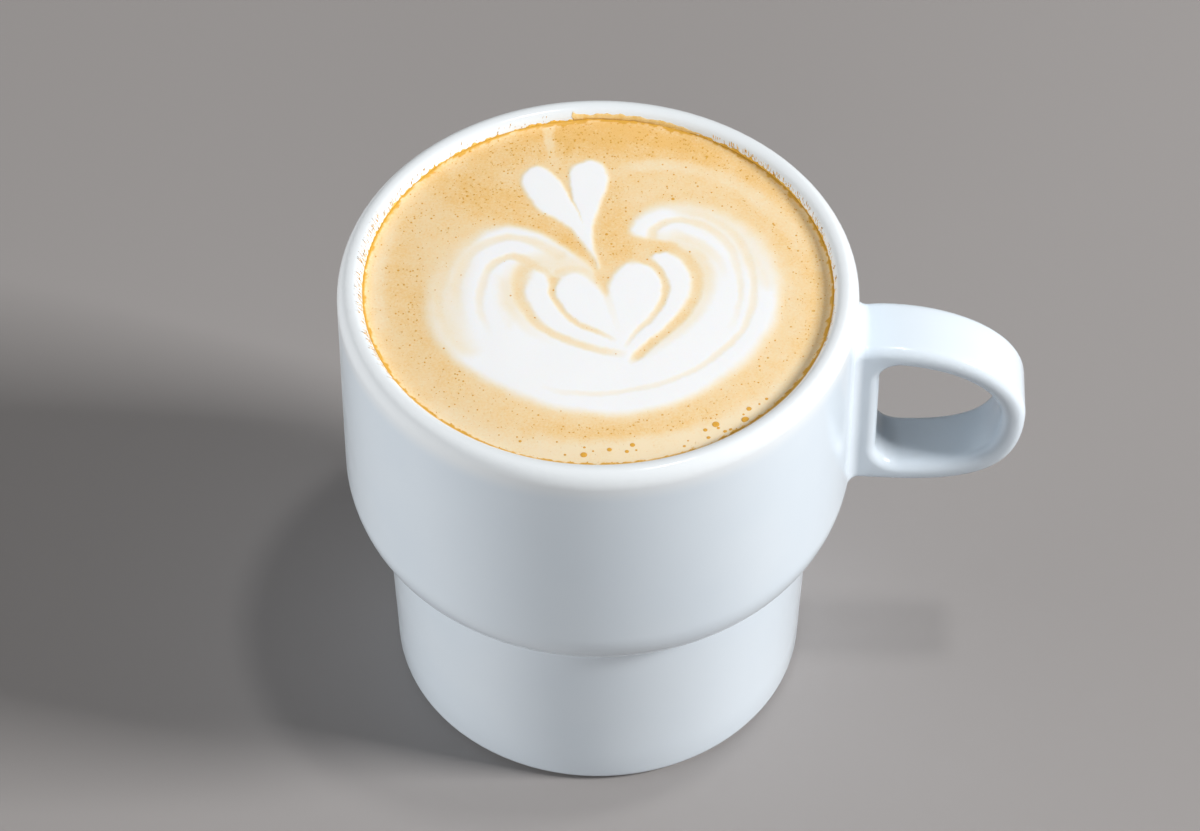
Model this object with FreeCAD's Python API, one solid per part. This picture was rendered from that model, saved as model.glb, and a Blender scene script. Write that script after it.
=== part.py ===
import FreeCAD
import Part
import math
import os

# A latte in its stacking mug. Millimetres, +Z up, +X towards the handle.
# The origin is on the cup's axis, where its foot ring stands on the table.
# The upper half of the cup is a straight cylinder. The lower half is narrower,
# so that it drops into the rim of the same cup below it in a stack.

# Cup body
cup_height = 89.2
wall_radius = 43.0          # outside of the straight upper wall
wall = 4.25                 # glazed wall, the same all the way down
stacking_gap = 2.15         # between the narrow lower half and the rim that it drops into
foot_height = 39.3          # from the table up to the crease under the bowl
foot_draft = 2.0            # degrees, the lower half narrows towards the table
foot_edge = 1.8             # rounding where the side meets the foot ring
ring_width = 4.6            # foot ring, from the recess to where foot_edge starts
recess_depth = 2.6          # hollow under the base, inside the foot ring
recess_edge = 1.0
floor_thickness = 5.2
floor_round = 9.0           # inside corner between floor and wall

# Rounding that joins the crease to the straight wall: a tight arc, then a wide one
shoulder_radius = 14.0      # of the wide upper arc
shoulder_turn = 25.0        # degrees that the wide arc covers
ledge_thickness = 5.0       # glazed clay over the crease, measured upwards

# Lip
lip_crest = 2.2             # from the outside wall in to the highest circle
lip_outer_drop = 3.1        # how far each side's rounding reaches down
lip_inner_drop = 2.1

# Handle: a strap with round edges and a pad against the wall
handle_below_lip = 9.55     # lip to the strap's highest line
handle_above_crease = 7.5   # crease to the strap's lowest line
handle_reach = 28.6         # beyond the straight wall
handle_width = 12.0
strap = 4.1
strap_edge = 1.8            # rounding of the strap's and the pad's edges
pad = 3.85                  # how far the pad stands off the wall
belly = 0.49                # share of the handle's height where it reaches furthest
top_run = 4.35              # from the wall to where the top starts to curve down
bottom_run = 9.1
top_dip = 1.1               # how much lower the strap is at the wall
bottom_dip = 0.5
top_corner = 3.4            # corners of the finger gap beside the pad
bottom_corner = 4.4
top_fullness = 0.55         # 0.55 is an ellipse, more is squarer
bottom_fullness = 0.70
root_depth = 2.1            # how far the handle is sunk into the wall
root_fillet = 2.0           # soft joint between handle and wall

# Drink
drink_below_lip = lip_inner_drop

ROUND = 4 * (math.sqrt(2) - 1) / 3    # fullness of a quarter circle or ellipse
FLAT = 0.01                 # edges closer than this to a plane lie in it
WALL_BAND = 0.3             # the handle's joint stays this close to the straight wall's radius
SPOTS = 7                   # places along an edge that are looked at to tell where it runs
ROUNDEST = 0.45             # the most of the strap's thickness that each rounded edge may take
ORIGIN = FreeCAD.Vector(0, 0, 0)
UP = FreeCAD.Vector(0, 0, 1)

inner_radius = wall_radius - wall
foot_top_radius = inner_radius - stacking_gap
draft = math.tan(math.radians(foot_draft))
floor_height = recess_depth + floor_thickness
drink_height = cup_height - drink_below_lip


def at(across, up):
    return FreeCAD.Vector(across, 0, up)


def line(start, end):
    return Part.LineSegment(start, end).toShape()


def quarter(start, corner, end, fullness=ROUND):
    """A quarter turn, tangent at its ends to the two sides that meet in corner."""
    curve = Part.BezierCurve()
    curve.setPoles([
        start,
        start + (corner - start) * fullness,
        end + (corner - end) * fullness,
        end,
    ])
    return curve.toShape()


def arc(centre, radius, first, last):
    """An arc about centre from one angle to another, in degrees from the horizontal."""
    spots = []
    for angle in (first, (first + last) / 2, last):
        turn = math.radians(angle)
        spots.append(centre + at(radius * math.cos(turn), radius * math.sin(turn)))
    return Part.Arc(*spots).toShape()


def foot_radius(height):
    return foot_top_radius - (foot_height - height) * draft


def underside():
    """From the axis, over the recess and the foot ring, up the side to the crease."""
    outside = foot_radius(0)
    recess_radius = outside - foot_edge - ring_width
    return [
        line(at(0, recess_depth), at(recess_radius - recess_edge, recess_depth)),
        quarter(
            at(recess_radius - recess_edge, recess_depth),
            at(recess_radius, recess_depth),
            at(recess_radius, recess_depth - recess_edge),
        ),
        line(at(recess_radius, recess_depth - recess_edge), at(recess_radius, recess_edge)),
        quarter(
            at(recess_radius, recess_edge),
            at(recess_radius, 0),
            at(recess_radius + recess_edge, 0),
        ),
        line(at(recess_radius + recess_edge, 0), at(outside - foot_edge, 0)),
        quarter(at(outside - foot_edge, 0), at(outside, 0), at(foot_radius(foot_edge), foot_edge)),
        line(at(foot_radius(foot_edge), foot_edge), at(foot_top_radius, foot_height)),
    ]


def shoulder():
    """From the crease out and up to the straight wall, as two arcs that share a tangent."""
    turn = math.radians(shoulder_turn)
    across = wall_radius - foot_top_radius - shoulder_radius * (1 - math.cos(turn))
    tight = across / math.cos(turn)
    tight_centre = at(foot_top_radius, foot_height + tight)
    joint = tight_centre + at(tight * math.cos(turn), -tight * math.sin(turn))
    wide_centre = joint + at(-shoulder_radius * math.cos(turn), shoulder_radius * math.sin(turn))
    return [
        arc(tight_centre, tight, -90, -shoulder_turn),
        arc(wide_centre, shoulder_radius, -shoulder_turn, 0),
    ], wide_centre.z


def inside():
    """The wetted surface, from the straight inner wall down to the axis."""
    ledge_height = foot_height + ledge_thickness
    ledge_radius = foot_top_radius - wall
    middle = (inner_radius + ledge_radius) / 2
    half = (inner_radius - ledge_radius) / 2
    low = ledge_height - half
    corner_radius = foot_radius(floor_height) - wall
    side_radius = foot_radius(floor_height + floor_round) - wall
    low_radius = foot_radius(low) - wall
    return [
        line(at(inner_radius, drink_height), at(inner_radius, ledge_height + half)),
        quarter(
            at(inner_radius, ledge_height + half),
            at(inner_radius, ledge_height),
            at(middle, ledge_height),
        ),
        quarter(at(middle, ledge_height), at(low_radius, ledge_height), at(low_radius, low)),
        line(at(low_radius, low), at(side_radius, floor_height + floor_round)),
        quarter(
            at(side_radius, floor_height + floor_round),
            at(corner_radius, floor_height),
            at(corner_radius - floor_round, floor_height),
        ),
        line(at(corner_radius - floor_round, floor_height), at(0, floor_height)),
    ]


def turned(edges):
    """The solid that a closed outline sweeps about the cup's axis."""
    return Part.Face(Part.Wire(Part.__sortEdges__(edges))).revolve(ORIGIN, UP, 360)


def cup_body():
    shoulder_edges, wall_start = shoulder()
    crest = at(wall_radius - lip_crest, cup_height)
    lip = [
        line(at(wall_radius, wall_start), at(wall_radius, cup_height - lip_outer_drop)),
        quarter(
            at(wall_radius, cup_height - lip_outer_drop),
            at(wall_radius, cup_height),
            crest,
        ),
        quarter(crest, at(inner_radius, cup_height), at(inner_radius, drink_height)),
    ]
    axis = [line(at(0, floor_height), at(0, recess_depth))]
    return turned(underside() + shoulder_edges + lip + inside() + axis)


def handle_outline():
    """The handle's side view: its outer edge, closed inside the wall."""
    top = cup_height - handle_below_lip
    bottom = foot_height + handle_above_crease
    widest = bottom + (top - bottom) * belly
    tip = wall_radius + handle_reach
    root = wall_radius - root_depth
    top_start = wall_radius + top_run
    bottom_start = wall_radius + bottom_run
    return [
        line(at(root, bottom + bottom_dip), at(root, top - top_dip)),
        quarter(at(root, top - top_dip), at((root + top_start) / 2, top), at(top_start, top)),
        quarter(at(top_start, top), at(tip, top), at(tip, widest), top_fullness),
        quarter(at(tip, widest), at(tip, bottom), at(bottom_start, bottom), bottom_fullness),
        quarter(
            at(bottom_start, bottom),
            at((root + bottom_start) / 2, bottom),
            at(root, bottom + bottom_dip),
        ),
    ]


def gap_outline():
    """The loop's inner side: one strap in from the outline, and open towards the wall."""
    top = cup_height - handle_below_lip - strap
    bottom = foot_height + handle_above_crease + strap
    widest = bottom - strap + (top - bottom + 2 * strap) * belly
    tip = wall_radius + handle_reach - strap
    top_start = wall_radius + top_run
    bottom_start = wall_radius + bottom_run
    return [
        line(at(wall_radius, bottom), at(wall_radius, top)),
        line(at(wall_radius, top), at(top_start, top)),
        quarter(at(top_start, top), at(tip, top), at(tip, widest), top_fullness),
        quarter(at(tip, widest), at(tip, bottom), at(bottom_start, bottom), bottom_fullness),
        line(at(bottom_start, bottom), at(wall_radius, bottom)),
    ]


def plate(edges):
    """A flat plate of the handle's width, with the given side view."""
    face = Part.Face(Part.Wire(Part.__sortEdges__(edges)))
    face.translate(FreeCAD.Vector(0, -handle_width / 2, 0))
    return face.extrude(FreeCAD.Vector(0, handle_width, 0))


def rims(shape, starts_after, reaches, ends_before):
    """The edges round a plate's two flat sides, chosen by how they lie along X."""
    found = []
    for edge in shape.Edges:
        box = edge.BoundBox
        on_side = box.YLength < FLAT and abs(abs(box.YMin) - handle_width / 2) < FLAT
        if on_side and box.XMin > starts_after and box.XMax > reaches and box.XMax < ends_before:
            found.append(edge)
    return found


def pad_corners(gap):
    """The edges across the gap that lie on the pad, lowest first."""
    found = []
    for edge in gap.Edges:
        box = edge.BoundBox
        across = box.YLength > FLAT and box.ZLength < FLAT
        if across and box.XMax < wall_radius + pad + FLAT:
            found.append(edge)
    return sorted(found, key=lambda edge: edge.BoundBox.ZMin)


def finger_gap():
    """The opening through the handle: it ends at the pad, with a round corner above and below."""
    start = FreeCAD.Vector(0, -handle_width / 2, 0)
    gap = plate(gap_outline()).cut(Part.makeBox(wall_radius + pad, handle_width, cup_height, start))
    gap = gap.makeFillet(bottom_corner, [pad_corners(gap)[0]])
    return gap.makeFillet(top_corner, [pad_corners(gap)[-1]])


def handle():
    """The strap and its pad, with every edge outside the wall rounded."""
    edge_round = min(strap_edge, ROUNDEST * strap)
    gap_left = wall_radius + pad - FLAT
    gap_right = wall_radius + handle_reach - strap + FLAT
    blank = plate(handle_outline())
    outside_rims = rims(blank, 0, wall_radius, math.inf)
    pierced = blank.makeFillet(edge_round, outside_rims).cut(finger_gap())
    return pierced.makeFillet(edge_round, rims(pierced, gap_left, gap_left, gap_right))


def joint_edges(shape):
    """The closed line where the handle leaves the cup's outer wall."""
    found = []
    for edge in shape.Edges:
        spots = edge.discretize(SPOTS)
        on_wall = all(abs(math.hypot(spot.x, spot.y) - wall_radius) < WALL_BAND for spot in spots)
        behind = all(abs(spot.y) < handle_width and spot.x > 0 for spot in spots)
        between = all(foot_height < spot.z < cup_height - handle_below_lip for spot in spots)
        if on_wall and behind and between:
            found.append(edge)
    return found


def cup():
    joined = cup_body().fuse(handle()).removeSplitter()
    return joined.makeFillet(root_fillet, joint_edges(joined))


def latte():
    surface = [
        line(at(0, floor_height), at(0, drink_height)),
        line(at(0, drink_height), at(inner_radius, drink_height)),
    ]
    return turned(surface + inside())


os.makedirs("parts", exist_ok=True)
for name, make in (("cup", cup), ("latte", latte)):
    shape = make()
    shape.exportStep("parts/%s.step" % name)
    print(name, shape.isValid(), len(shape.Solids), round(shape.Volume / 1000, 2), "cm3", shape.BoundBox)
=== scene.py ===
import math

import bmesh
import bpy
import numpy as np
from mathutils import Matrix, Vector, noise


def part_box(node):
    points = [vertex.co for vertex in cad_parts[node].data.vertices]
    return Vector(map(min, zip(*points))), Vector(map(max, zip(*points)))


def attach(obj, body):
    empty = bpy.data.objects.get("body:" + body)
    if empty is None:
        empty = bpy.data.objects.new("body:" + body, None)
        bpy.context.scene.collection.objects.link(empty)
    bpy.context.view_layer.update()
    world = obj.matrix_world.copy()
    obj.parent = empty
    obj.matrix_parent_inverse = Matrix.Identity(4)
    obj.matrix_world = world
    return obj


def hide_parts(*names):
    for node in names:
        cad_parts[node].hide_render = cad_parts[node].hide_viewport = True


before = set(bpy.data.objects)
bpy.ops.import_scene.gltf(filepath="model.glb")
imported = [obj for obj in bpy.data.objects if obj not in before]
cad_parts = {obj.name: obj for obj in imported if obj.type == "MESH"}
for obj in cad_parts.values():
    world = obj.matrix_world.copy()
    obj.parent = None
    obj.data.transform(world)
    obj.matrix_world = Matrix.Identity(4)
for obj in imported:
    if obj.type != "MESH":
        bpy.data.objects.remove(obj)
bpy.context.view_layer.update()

bl_info = {
    "name": "Latte in a stacking mug",
    "version": (1, 0, 0),
    "blender": (4, 5, 0),
    "location": "View3D > Sidebar > Latte",
    "description": "Glazed mug, free-poured milk foam, bubbles and dried crema",
    "category": "Object",
}

CUP_LOW, CUP_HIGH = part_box("cup")
DRINK_LOW, DRINK_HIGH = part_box("latte")

MM = 0.001
WALL_RADIUS = -CUP_LOW.x
RIM = CUP_HIGH.z
LEVEL = DRINK_HIGH.z
BREW_RADIUS = DRINK_HIGH.x
LIP_DROP = RIM - LEVEL
LIP_CREST = WALL_RADIUS - 2.2 * MM      # radius at which the lip is highest


# ---------------------------------------------------------------- settings

def colour_field(name, description, default):
    return bpy.props.FloatVectorProperty(
        name=name, description=description, default=default, min=0.0, max=1.0, subtype="COLOR",
    )


def power_field(name, description, default):
    return bpy.props.FloatProperty(
        name=name, description=description, default=default, min=0.0, max=500.0, unit="POWER",
    )


class CupSettings(bpy.types.PropertyGroup):
    glaze: colour_field("Glaze", "Colour of the glazed clay", (0.72, 0.80, 0.875))
    # Painted light: a lighter glaze colour on the lip's top, standing in for the light the lip catches.
    painted_lip_light: colour_field("Lip painted light", "Colour of the glaze lightened over the lip as painted light", (0.815, 0.865, 0.905))
    gloss: bpy.props.FloatProperty(
        name="Roughness",
        description="How rough the glaze is",
        default=0.14, min=0.02, max=0.6, subtype="FACTOR",
    )
    bare_clay: colour_field(
        "Bare clay", "Colour of the foot ring where the glaze was wiped off",
        (0.62, 0.58, 0.51),
    )


class FoamSettings(bpy.types.PropertyGroup):
    crema: colour_field("Crema", "Colour of the coffee-stained foam", (0.905, 0.675, 0.37))
    dark_crema: colour_field("Dark crema", "Colour where the crema is richest", (0.865, 0.545, 0.19))
    pale_crema: colour_field(
        "Pale crema", "Colour where milk has thinned the crema",
        (0.915, 0.775, 0.54),
    )
    edge: colour_field(
        "Edge", "Colour of the thin line where the crema dries at the wall",
        (0.74, 0.41, 0.065),
    )
    milk: colour_field("Milk foam", "Colour of the poured milk foam", (0.91, 0.935, 0.965))
    cells: bpy.props.IntProperty(
        name="Cells across",
        description="How many cells the surface has from wall to wall",
        default=300, min=40, max=310,
    )
    swell: bpy.props.FloatProperty(
        name="Milk swell",
        description="How far the poured milk foam stands over the crema",
        default=0.12 * MM, min=0.0, max=0.001, unit="LENGTH",
    )
    meniscus: bpy.props.FloatProperty(
        name="Meniscus",
        description="How far the foam climbs the wall",
        default=0.6 * MM, min=0.0, max=0.001, unit="LENGTH",
    )


class BubbleSettings(bpy.types.PropertyGroup):
    smallest: bpy.props.FloatProperty(
        name="Smallest radius",
        description="Radius of the finest open bubbles",
        default=0.045 * MM, min=0.00001, max=0.001, unit="LENGTH",
    )
    largest: bpy.props.FloatProperty(
        name="Largest radius",
        description="Radius of the coarsest of the scattered bubbles",
        default=0.2 * MM, min=0.00001, max=0.001, unit="LENGTH",
    )
    density: bpy.props.FloatProperty(
        name="Bubbles per square metre",
        description="Bubbles on a square metre of the richest crema",
        default=4000000.0, min=0.0, max=8000000.0,
    )
    flatness: bpy.props.FloatProperty(
        name="Flatness",
        description="Height of a large bubble as a share of its width",
        default=0.1, min=0.02, max=1.0, subtype="FACTOR",
    )
    seed: bpy.props.IntProperty(
        name="Seed",
        description="Another number strews the fine bubbles another way",
        default=5, min=0,
    )
    tint: colour_field("Bubble", "Colour of the coffee seen through a bubble", (0.86, 0.46, 0.07))


class ResidueSettings(bpy.types.PropertyGroup):
    amount: bpy.props.FloatProperty(
        name="Flecks",
        description="Share of the usual number of dried flecks on the lip",
        default=1.0, min=0.0, max=4.0, subtype="FACTOR",
    )
    seed: bpy.props.IntProperty(
        name="Seed",
        description="Another number strews the flecks another way",
        default=4, min=0,
    )


class StageSettings(bpy.types.PropertyGroup):
    table: colour_field("Table", "Colour of the plain table", (0.316, 0.302, 0.300))
    key: power_field("Key light", "Power of the soft light at the handle's side", 38.6)
    fill: power_field("Fill light", "Power of the low, wide light on the other side", 29.0)
    front: power_field("Front light", "Power of the wide light over the drinker's shoulder", 4.4)
    back: power_field("Back light", "Power of the wide light behind the mug", 3.6)
    ceiling: power_field("Ceiling light", "Power of the small light almost straight above", 4.4)
    sky: bpy.props.FloatProperty(
        name="Room light",
        description="Strength of the even light from all round",
        default=0.03, min=0.0, max=10.0,
    )


# ---------------------------------------------------------------- shader helpers

class Shader:
    """A material's nodes, built one call at a time."""

    def __init__(self, name):
        self.material = bpy.data.materials.new(name)
        self.material.use_nodes = True
        self.tree = self.material.node_tree
        self.tree.nodes.clear()
        self.surface = self.add("ShaderNodeBsdfPrincipled")
        output = self.add("ShaderNodeOutputMaterial")
        self.join(self.surface.outputs["BSDF"], output.inputs["Surface"])
        self.place = self.add("ShaderNodeTexCoord").outputs["Object"]

    def add(self, kind, **settings):
        node = self.tree.nodes.new(kind)
        for key, value in settings.items():
            setattr(node, key, value)
        return node

    def join(self, source, target):
        self.tree.links.new(source, target)

    def feed(self, node, **values):
        """Sets or links inputs by name, where an underscore stands for a space."""
        for key, value in values.items():
            socket = node.inputs[key.replace("_", " ")]
            if isinstance(value, bpy.types.NodeSocket):
                self.join(value, socket)
            else:
                socket.default_value = value
        return node

    def set(self, **values):
        self.feed(self.surface, **values)

    def attribute(self, name):
        return self.add("ShaderNodeAttribute", attribute_name=name).outputs["Fac"]

    def noise(self, size, detail=2.0, rough=0.5, place=None):
        """Noise whose blobs are about size metres across."""
        node = self.add("ShaderNodeTexNoise")
        self.feed(node, Vector=place or self.place, Scale=1 / size, Detail=detail, Roughness=rough)
        return node.outputs["Fac"]

    def math(self, operation, first, second=0.0, clamp=False):
        node = self.add("ShaderNodeMath", operation=operation, use_clamp=clamp)
        for socket, value in zip(node.inputs, (first, second)):
            if isinstance(value, bpy.types.NodeSocket):
                self.join(value, socket)
            else:
                socket.default_value = value
        return node.outputs[0]

    def span(self, value, low, high, to_low=0.0, to_high=1.0, smooth=True):
        """Maps low..high to to_low..to_high, held at both ends."""
        node = self.add("ShaderNodeMapRange", clamp=True)
        node.interpolation_type = "SMOOTHSTEP" if smooth else "LINEAR"
        self.feed(node, Value=value, From_Min=low, From_Max=high, To_Min=to_low, To_Max=to_high)
        return node.outputs["Result"]

    def blend(self, share, first, second, mode="MIX"):
        node = self.add("ShaderNodeMix", data_type="RGBA", blend_type=mode)
        for socket, value in zip((node.inputs[0], node.inputs[6], node.inputs[7]), (share, first, second)):
            if isinstance(value, bpy.types.NodeSocket):
                self.join(value, socket)
            else:
                socket.default_value = value
        return node.outputs[2]

    def power(self, colour, exponent):
        """Each part of a colour to a power, as light is dimmed by a layer's thickness."""
        return self.feed(self.add("ShaderNodeGamma"), Color=colour, Gamma=exponent).outputs[0]

    def axes(self):
        node = self.add("ShaderNodeSeparateXYZ")
        self.join(self.place, node.inputs[0])
        return node.outputs

    def bump(self, height, depth, strength=1.0, below=None):
        """Bump from a 0..1 height that stands depth metres high."""
        node = self.add("ShaderNodeBump")
        self.feed(node, Strength=strength, Distance=depth, Height=height)
        if below:
            self.join(below, node.inputs["Normal"])
        return node.outputs["Normal"]


def rgba(colour):
    return (*colour[:3], 1.0)


# ---------------------------------------------------------------- finishes

def glaze_finish(settings):
    """White glaze with a cool cast, lightened towards the lip's top as painted light, bare clay on the foot
    ring.
    """
    shader = Shader("white_glaze")
    z = shader.axes()[2]
    broad = shader.noise(26 * MM, 2.0)
    tone = shader.span(broad, 0.3, 0.7, 0.0, 1.0)
    deep = tuple(c * s for c, s in zip(settings.glaze, (0.965, 0.975, 0.985)))
    body = shader.blend(tone, rgba(deep), rgba(settings.glaze))
    # Painted light: the glaze turns lighter towards the lip's top, for the light the lip catches.
    painted_lip_light = shader.span(z, RIM - 6.5 * MM, RIM - 2.0 * MM)
    glaze = shader.blend(painted_lip_light, body, rgba(settings.painted_lip_light))
    grain = shader.noise(0.5 * MM, 3.0)
    clay_dark = tuple(c * 0.86 for c in settings.bare_clay)
    clay = shader.blend(grain, rgba(clay_dark), rgba(settings.bare_clay))
    bare = shader.span(z, 0.15 * MM, 0.45 * MM, 1.0, 0.0)
    ware = shader.blend(bare, glaze, clay)
    shader.set(
        Base_Color=ware,
        Roughness=shader.math(
            "ADD",
            shader.span(shader.noise(9 * MM, 3.0), 0.3, 0.7, settings.gloss * 0.8, settings.gloss * 1.2),
            shader.math("MULTIPLY", bare, 0.6),
            clamp=True,
        ),
        IOR=1.5,
    )
    ripple = shader.bump(shader.noise(7 * MM, 1.0), 0.012 * MM)
    skin = shader.bump(shader.noise(1.1 * MM, 2.0), 0.0012 * MM, below=ripple)
    shader.set(Normal=skin)
    return shader.material


def foam_finish(settings):
    """Crema from rich to pale, milk foam over it, and the fine grain of microfoam."""
    shader = Shader("poured_foam")
    milk, tone = shader.attribute("milk"), shader.attribute("tone")
    cloud = shader.noise(3.2 * MM, 4.0, 0.6)
    fine = shader.noise(0.42 * MM, 3.0, 0.6)
    clouded = shader.span(cloud, 0.25, 0.75, -0.16, 0.16, smooth=False)
    grained = shader.span(fine, 0.3, 0.7, -0.19, 0.19, smooth=False)
    richness = shader.math("ADD", shader.math("ADD", tone, clouded), grained, clamp=True)
    thin_half = shader.span(richness, 0.0, 0.5, smooth=False)
    rich_half = shader.span(richness, 0.5, 1.0, smooth=False)
    crema = shader.blend(thin_half, rgba(settings.pale_crema), rgba(settings.crema))
    crema = shader.blend(rich_half, crema, rgba(settings.dark_crema))
    crema = shader.blend(shader.span(tone, 1.0, 1.5), crema, rgba(settings.edge))
    pores = shader.add("ShaderNodeTexVoronoi", feature="F1")
    shader.feed(pores, Vector=shader.place, Scale=1 / (0.55 * MM), Randomness=1.0)
    chosen = shader.add("ShaderNodeSeparateColor")
    shader.join(pores.outputs["Color"], chosen.inputs[0])
    lucky = shader.span(chosen.outputs[0], 0.80, 0.86)
    pit = shader.math("MULTIPLY", shader.span(pores.outputs["Distance"], 0.10, 0.26, 1.0, 0.0), lucky)
    crema = shader.blend(shader.math("MULTIPLY", pit, 0.55), crema, rgba(settings.dark_crema))
    cover = shader.math("ADD", milk, shader.span(fine, 0.3, 0.7, -0.03, 0.03, smooth=False), clamp=True)
    thinned = shader.power(crema, shader.math("SUBTRACT", 1.0, cover))
    milky = shader.power(rgba(settings.milk), cover)
    shader.set(
        Base_Color=shader.blend(1.0, thinned, milky, "MULTIPLY"),
        Roughness=shader.span(milk, 0.0, 1.0, 0.34, 0.42, smooth=False),
        IOR=1.36,
        Subsurface_Weight=0.12,
        Subsurface_Radius=(1.0, 0.7, 0.45),
        Subsurface_Scale=0.6 * MM,
    )
    grain = shader.bump(fine, 0.010 * MM)
    pitted = shader.math("MULTIPLY", pit, shader.math("SUBTRACT", 1.0, cover))
    shader.set(Normal=shader.bump(shader.math("SUBTRACT", 1.0, pitted), 0.05 * MM, below=grain))
    return shader.material


def bubble_finish(settings):
    """Thin coffee-brown domes, wet and shiny."""
    shader = Shader("open_bubble")
    mottle = shader.noise(0.35 * MM, 2.0)
    dark = tuple(c * 0.72 for c in settings.tint)
    shader.set(
        Base_Color=shader.blend(mottle, rgba(dark), rgba(settings.tint)),
        Roughness=0.4,
        IOR=1.33,
    )
    return shader.material


def dried_finish(name, thin, heavy):
    """Crema that dried on the wall in a film, thicker and darker in places."""
    shader = Shader(name)
    thick = shader.noise(1.3 * MM, 4.0, 0.65)
    shader.set(
        Base_Color=shader.blend(shader.span(thick, 0.3, 0.7), rgba(thin), rgba(heavy)),
        Roughness=shader.span(thick, 0.3, 0.7, 0.45, 0.6),
        IOR=1.4,
        Normal=shader.bump(shader.noise(0.3 * MM, 3.0), 0.03 * MM),
    )
    return shader.material


def table_finish(colour):
    """Plain, very slightly mottled, satin."""
    shader = Shader("plain_table")
    cloud = shader.noise(180 * MM, 2.0)
    dim = tuple(c * 0.985 for c in colour)
    shader.set(
        Base_Color=shader.blend(cloud, rgba(dim), rgba(colour)),
        Roughness=0.55,
        Normal=shader.bump(shader.noise(0.9 * MM, 3.0), 0.006 * MM),
    )
    return shader.material


# ---------------------------------------------------------------- the pour
#
# The pattern is drawn on a flat plan of the surface, in millimetres from the
# cup's axis: u runs to the right and v away from whoever holds the handle in
# the right hand. POUR_TURN is how far that plan is turned from the cup's X.

POUR_TURN = math.radians(1.6)


def smooth_line(knots, closed=False, per=16):
    """A Catmull-Rom curve through the knots, as rows of numbers."""
    knots = np.array(knots, float)
    if closed:
        ring = np.vstack([knots[-1], knots, knots[:2]])
    else:
        ring = np.vstack([2 * knots[0] - knots[1], knots, 2 * knots[-1] - knots[-2]])
    share = np.linspace(0, 1, per, endpoint=False)[:, None]
    rows = []
    for a, b, c, d in zip(ring[:-3], ring[1:-2], ring[2:-1], ring[3:]):
        rows.append(0.5 * (
            2 * b + (c - a) * share
            + (2 * a - 5 * b + 4 * c - d) * share ** 2
            + (3 * b - a - 3 * c + d) * share ** 3
        ))
    if closed:
        return np.vstack(rows + [rows[0][:1]])
    return np.vstack(rows + [knots[-1:]])


def nearest(line, u, v):
    """Distance to a line, and what the line's further columns hold there."""
    best = np.full(u.shape, np.inf)
    carried = np.zeros((line.shape[1] - 2,) + u.shape)
    for start, end in zip(line[:-1], line[1:]):
        step = end[:2] - start[:2]
        along = ((u - start[0]) * step[0] + (v - start[1]) * step[1]) / max(step @ step, 1e-12)
        along = np.clip(along, 0, 1)
        gap = np.hypot(u - start[0] - along * step[0], v - start[1] - along * step[1])
        closer = gap < best
        best = np.where(closer, gap, best)
        for row, low, high in zip(carried, start[2:], end[2:]):
            row[closer] = (low + (high - low) * along)[closer]
    return best, carried


def enclosed(line, u, v):
    """Whether each place lies inside a closed line."""
    within = np.zeros(u.shape, bool)
    for (u0, v0), (u1, v1) in zip(line[:-1, :2], line[1:, :2]):
        if v0 != v1:
            crosses = ((v0 > v) != (v1 > v)) & (u < (u1 - u0) * (v - v0) / (v1 - v0) + u0)
            within ^= crosses
    return within


def ease(value):
    value = np.clip(value, 0, 1)
    return value * value * (3 - 2 * value)


def patch(knots, u, v):
    """1 inside a closed outline, 0 outside. Each knot is u, v and how wide its edge is."""
    line = smooth_line(knots, closed=True)
    gap, (soft,) = nearest(line, u, v)
    signed = np.where(enclosed(line, u, v), gap, -gap)
    return ease(0.5 + signed / np.maximum(soft, 0.05))


def stroke(knots, u, v):
    """A drawn line. Each knot is u, v, the line's width and its strength."""
    gap, (width, strength) = nearest(smooth_line(knots), u, v)
    return strength * ease(1.25 - gap / np.maximum(width, 0.05) * 1.25)


# Outlines of white milk foam: u, v, edge width
BIG_HEART = [
    (-0.9, 4.4, 1.4), (-3.4, 7.6, 1.8), (-6.6, 10.4, 2.0), (-10.4, 13.0, 2.2), (-14.2, 14.5, 2.4),
    (-18.6, 13.4, 3.0), (-22.4, 10.2, 4.2), (-25.4, 5.6, 4.8), (-27.3, 0.6, 4.6), (-27.8, -5.0, 3.8),
    (-26.6, -10.2, 3.2), (-23.5, -15.0, 3.0), (-19.0, -19.2, 3.0), (-13.5, -23.0, 3.0),
    (-7.4, -25.8, 3.0), (-1.0, -27.2, 2.8), (5.6, -27.1, 2.8), (11.6, -25.4, 2.8), (17.0, -22.4, 3.0),
    (21.7, -18.2, 3.4), (25.6, -13.8, 3.6), (28.5, -8.4, 3.2), (29.8, -2.4, 2.8), (29.6, 3.6, 3.4),
    (28.0, 9.2, 4.2), (24.6, 14.0, 4.6), (19.7, 17.6, 4.8), (14.2, 19.4, 4.2), (9.6, 18.9, 3.4),
    (6.6, 16.5, 2.4), (5.4, 13.4, 1.8), (7.6, 11.8, 1.6), (10.6, 10.9, 1.8), (12.8, 10.0, 1.8),
    (11.4, 8.9, 1.4), (8.6, 7.4, 1.4), (5.6, 6.6, 1.4), (3.2, 4.6, 1.4), (1.9, 1.6, 1.6),
    (1.2, -1.2, 2.0), (0.4, 0.9, 1.8), (-0.3, 2.8, 1.5),
]
LEFT_DROP = [
    (-10.4, 28.3, 1.1), (-12.2, 26.9, 1.1), (-12.8, 24.4, 1.1), (-12.0, 21.6, 1.1), (-10.0, 18.5, 1.1),
    (-7.4, 16.4, 1.0), (-5.2, 14.4, 1.0), (-3.4, 12.0, 1.1), (-1.9, 9.4, 1.2), (-0.2, 6.2, 1.5),
    (-0.8, 9.6, 1.0), (-1.6, 12.6, 0.8), (-2.7, 15.6, 0.5), (-3.9, 18.8, 0.5), (-5.3, 22.4, 0.7),
    (-6.9, 25.6, 0.9), (-8.6, 27.6, 1.0),
]
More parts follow.
